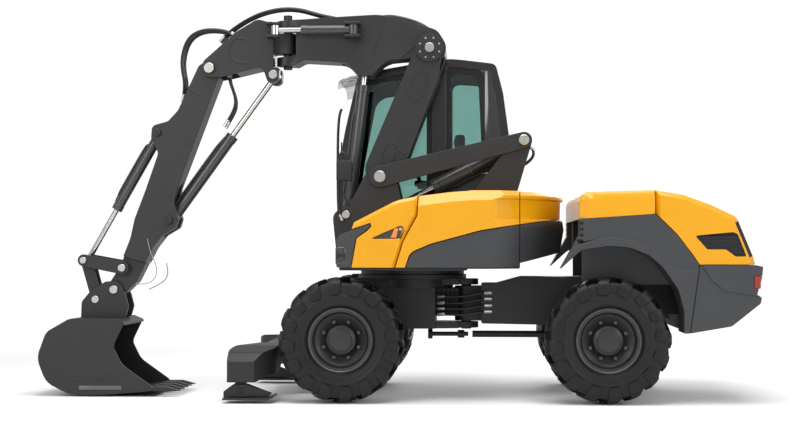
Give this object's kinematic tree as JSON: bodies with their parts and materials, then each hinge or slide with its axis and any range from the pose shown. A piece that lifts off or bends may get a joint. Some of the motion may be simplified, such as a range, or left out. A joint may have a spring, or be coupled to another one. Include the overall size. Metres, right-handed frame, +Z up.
{
  "type": "wheeled excavator",
  "caption": "Compact wheeled excavator with an articulated frame, a slewing upper body with cab, an offset two-part boom and bucket, and front stabilisers.",
  "frame": {"origin": "on the ground under the middle of the machine's overall box", "axes": "-X is forward (towards the bucket), +Y is the machine's right side with the cab, +Z is up"},
  "size_m": [6.2754, 2.29, 3.42],
  "materials": {
    "tyre_rubber": "matte",
    "rim_grey": "satin",
    "frame_grey": "satin",
    "engine_grey": "matte",
    "body_orange": "gloss",
    "panel_grey": "satin",
    "boom_charcoal": "satin",
    "cylinder_grey": "satin",
    "chrome_rod": "polished",
    "pin_steel": "satin",
    "cab_glazing": "gloss",
    "seat_vinyl": "matte",
    "trim_black": "matte"
  },
  "bodies": {
    "chassis": {"front_frame": "frame_grey", "front_axle": "frame_grey", "turntable_lower": "frame_grey"},
    "rear_chassis": {"rear_frame": "frame_grey", "rear_axle": "frame_grey", "driveshaft": "frame_grey", "engine_block": "engine_grey", "rear_fenders": "body_orange", "hood_front": "panel_grey", "rear_counterweight": "panel_grey"},
    "wheel_front_left": {"tyre_front_left": "tyre_rubber", "rim_front_left": "rim_grey"},
    "wheel_front_right": {"tyre_front_right": "tyre_rubber", "rim_front_right": "rim_grey"},
    "wheel_rear_left": {"tyre_rear_left": "tyre_rubber", "rim_rear_left": "rim_grey"},
    "wheel_rear_right": {"tyre_rear_right": "tyre_rubber", "rim_rear_right": "rim_grey"},
    "lid": {"engine_lid": "panel_grey"},
    "upper": {"upper_deck": "frame_grey", "boom_bracket": "boom_charcoal", "tie_brace": "boom_charcoal", "upper_covers": "body_orange", "upper_skirts": "panel_grey", "cab_shell": "body_orange", "cab_glass": "cab_glazing", "seat": "seat_vinyl", "seat_base": "trim_black", "steering_column": "trim_black"},
    "door": {"cab_door": "panel_grey", "door_glass": "cab_glazing"},
    "strut": {"strut": "boom_charcoal"},
    "main_barrel": {"main_cylinder_barrel": "cylinder_grey"},
    "main_rod": {"main_cylinder_rod": "chrome_rod"},
    "knee": {"knee_pin": "pin_steel"},
    "lift_barrel": {"lift_pin": "pin_steel", "lift_cylinder_barrel": "cylinder_grey"},
    "lift_rod": {"lift_cylinder_rod": "chrome_rod"},
    "boom": {"boom": "boom_charcoal"},
    "head": {"offset_head": "boom_charcoal"},
    "offset_barrel": {"offset_cylinder_barrel": "cylinder_grey"},
    "offset_rod": {"offset_cylinder_rod": "chrome_rod"},
    "dipper": {"dipper": "boom_charcoal"},
    "dipper_barrel": {"dipper_cylinder_barrel": "cylinder_grey"},
    "dipper_rod": {"dipper_cylinder_rod": "chrome_rod"},
    "bucket_barrel": {"bucket_cylinder_barrel": "cylinder_grey"},
    "bucket_rod": {"bucket_cylinder_rod": "chrome_rod"},
    "rocker": {"rocker": "boom_charcoal"},
    "link": {"bucket_link": "boom_charcoal"},
    "bucket": {"bucket_hitch": "boom_charcoal", "bucket": "boom_charcoal"},
    "leg_left": {"stabiliser_left": "frame_grey"},
    "leg_right": {"stabiliser_right": "frame_grey"}
  },
  "joints": [
    {"name": "articulation", "type": "hinge", "parent": "chassis", "child": "rear_chassis", "pos_m": [0.65843, 0, 0.8], "axis": [0, 0, 1], "range_deg": [-30, 30]},
    {"name": "slew", "type": "hinge", "parent": "chassis", "child": "upper", "pos_m": [0.16843, 0, 1.08], "axis": [0, 0, 1], "range_deg": [-120, 120]},
    {"name": "wheel_front_left_spin", "type": "hinge", "parent": "chassis", "child": "wheel_front_left", "pos_m": [-0.39457, -0.935, 0.535], "axis": [0, 1, 0], "continuous": true},
    {"name": "wheel_front_right_spin", "type": "hinge", "parent": "chassis", "child": "wheel_front_right", "pos_m": [-0.39457, 0.935, 0.535], "axis": [0, 1, 0], "continuous": true},
    {"name": "wheel_rear_left_spin", "type": "hinge", "parent": "rear_chassis", "child": "wheel_rear_left", "pos_m": [1.86143, -0.935, 0.535], "axis": [0, 1, 0], "continuous": true},
    {"name": "wheel_rear_right_spin", "type": "hinge", "parent": "rear_chassis", "child": "wheel_rear_right", "pos_m": [1.86143, 0.935, 0.535], "axis": [0, 1, 0], "continuous": true},
    {"name": "lid_hinge", "type": "hinge", "parent": "rear_chassis", "child": "lid", "pos_m": [2.24843, 0, 1.812], "axis": [0, -1, 0], "range_deg": [0, 60]},
    {"name": "door_hinge", "type": "hinge", "parent": "upper", "child": "door", "pos_m": [0.40343, 1.116, 2], "axis": [0, 0, -1], "range_deg": [0, 100]},
    {"name": "strut_pivot", "type": "hinge", "parent": "upper", "child": "strut", "pos_m": [-0.10457, -0.16, 1.949], "axis": [0, -1, 0], "range_deg": [-10, 60]},
    {"name": "main_barrel_swing", "type": "hinge", "parent": "upper", "child": "main_barrel", "pos_m": [1.17143, -0.16, 2.27], "axis": [0, -1, 0], "range_deg": [-1.01, 5.03]},
    {"name": "main_rod_slide", "type": "slide", "parent": "main_barrel", "child": "main_rod", "axis": [-0.8896, 0, -0.4567], "range_m": [-0.3795, 0.0649]},
    {"name": "knee_swing", "type": "hinge", "parent": "strut", "child": "knee", "pos_m": [0.33543, -0.16, 3.097], "axis": [0, -1, 0], "range_deg": [-37.38, 6.4]},
    {"name": "lift_barrel_swing", "type": "hinge", "parent": "upper", "child": "lift_barrel", "pos_m": [-0.40657, -0.16, 1.613], "axis": [0, -1, 0], "range_deg": [-9.11, 53.67]},
    {"name": "boom_pivot", "type": "hinge", "parent": "knee", "child": "boom", "pos_m": [0.33543, -0.16, 3.097], "axis": [0, 1, 0], "range_deg": [-8, 60]},
    {"name": "lift_rod_slide", "type": "slide", "parent": "lift_barrel", "child": "lift_rod", "axis": [0.1182, 0, 0.993], "range_m": [-0.0853, 0.6265]},
    {"name": "offset_pivot", "type": "hinge", "parent": "boom", "child": "head", "pos_m": [-0.95357, -0.16, 3.16], "axis": [0, 0, 1], "range_deg": [-35, 35]},
    {"name": "offset_barrel_swing", "type": "hinge", "parent": "boom", "child": "offset_barrel", "pos_m": [-0.34157, -0.415, 3.255], "axis": [0, 0, 1], "range_deg": [-3.93, 3.93]},
    {"name": "offset_rod_slide", "type": "slide", "parent": "offset_barrel", "child": "offset_rod", "axis": [-1, 0, 0], "range_m": [-0.1579, 0.1579]},
    {"name": "dipper_pivot", "type": "hinge", "parent": "head", "child": "dipper", "pos_m": [-1.64257, -0.16, 2.931], "axis": [0, -1, 0], "range_deg": [-25, 25]},
    {"name": "dipper_barrel_swing", "type": "hinge", "parent": "dipper", "child": "dipper_barrel", "pos_m": [-2.01957, -0.16, 1.564], "axis": [0, -1, 0], "range_deg": [-4.66, 4.66]},
    {"name": "dipper_rod_slide", "type": "slide", "parent": "dipper_barrel", "child": "dipper_rod", "axis": [0.5884, 0, 0.8086], "range_m": [-0.2238, 0.2238]},
    {"name": "bucket_pivot", "type": "hinge", "parent": "dipper", "child": "bucket", "pos_m": [-2.51857, -0.16, 0.941], "axis": [0, -1, 0], "range_deg": [-40, 60]},
    {"name": "rocker_swing", "type": "hinge", "parent": "dipper", "child": "rocker", "pos_m": [-2.43757, -0.16, 1.137], "axis": [0, -1, 0], "range_deg": [-23.17, 34.65]},
    {"name": "link_swing", "type": "hinge", "parent": "rocker", "child": "link", "pos_m": [-2.78857, -0.16, 1.205], "axis": [0, -1, 0], "range_deg": [-9.98, 6.72]},
    {"name": "bucket_barrel_swing", "type": "hinge", "parent": "dipper", "child": "bucket_barrel", "pos_m": [-2.12557, -0.16, 2.358], "axis": [0, -1, 0], "range_deg": [-2.44, 3.57]},
    {"name": "bucket_rod_slide", "type": "slide", "parent": "bucket_barrel", "child": "bucket_rod", "axis": [-0.4985, 0, -0.8669], "range_m": [-0.1317, 0.1966]},
    {"name": "leg_left_fold", "type": "hinge", "parent": "chassis", "child": "leg_left", "pos_m": [-1.10657, -0.5, 0.4], "axis": [-1, 0, 0], "range_deg": [0, 70]},
    {"name": "leg_right_fold", "type": "hinge", "parent": "chassis", "child": "leg_right", "pos_m": [-1.10657, 0.5, 0.4], "axis": [1, 0, 0], "range_deg": [0, 70]}
  ],
  "couplings": [
    {"joint": "main_barrel_swing", "follows": "strut_pivot", "ratio": 0.07821},
    {"joint": "main_rod_slide", "follows": "strut_pivot", "m_per_rad": -0.35003},
    {"joint": "knee_swing", "follows": "strut_pivot", "ratio": -0.60161},
    {"joint": "lift_barrel_swing", "follows": "strut_pivot", "ratio": 0.86522},
    {"joint": "lift_rod_slide", "follows": "boom_pivot", "m_per_rad": 0.579},
    {"joint": "offset_barrel_swing", "follows": "offset_pivot", "ratio": 0.10349},
    {"joint": "offset_rod_slide", "follows": "offset_pivot", "m_per_rad": -0.24777},
    {"joint": "dipper_barrel_swing", "follows": "dipper_pivot", "ratio": -0.17311},
    {"joint": "dipper_rod_slide", "follows": "dipper_pivot", "m_per_rad": -0.49363},
    {"joint": "rocker_swing", "follows": "bucket_pivot", "ratio": 0.55744},
    {"joint": "link_swing", "follows": "bucket_pivot", "ratio": -0.15831},
    {"joint": "bucket_barrel_swing", "follows": "bucket_pivot", "ratio": 0.05446},
    {"joint": "bucket_rod_slide", "follows": "bucket_pivot", "m_per_rad": 0.1804}
  ]
}
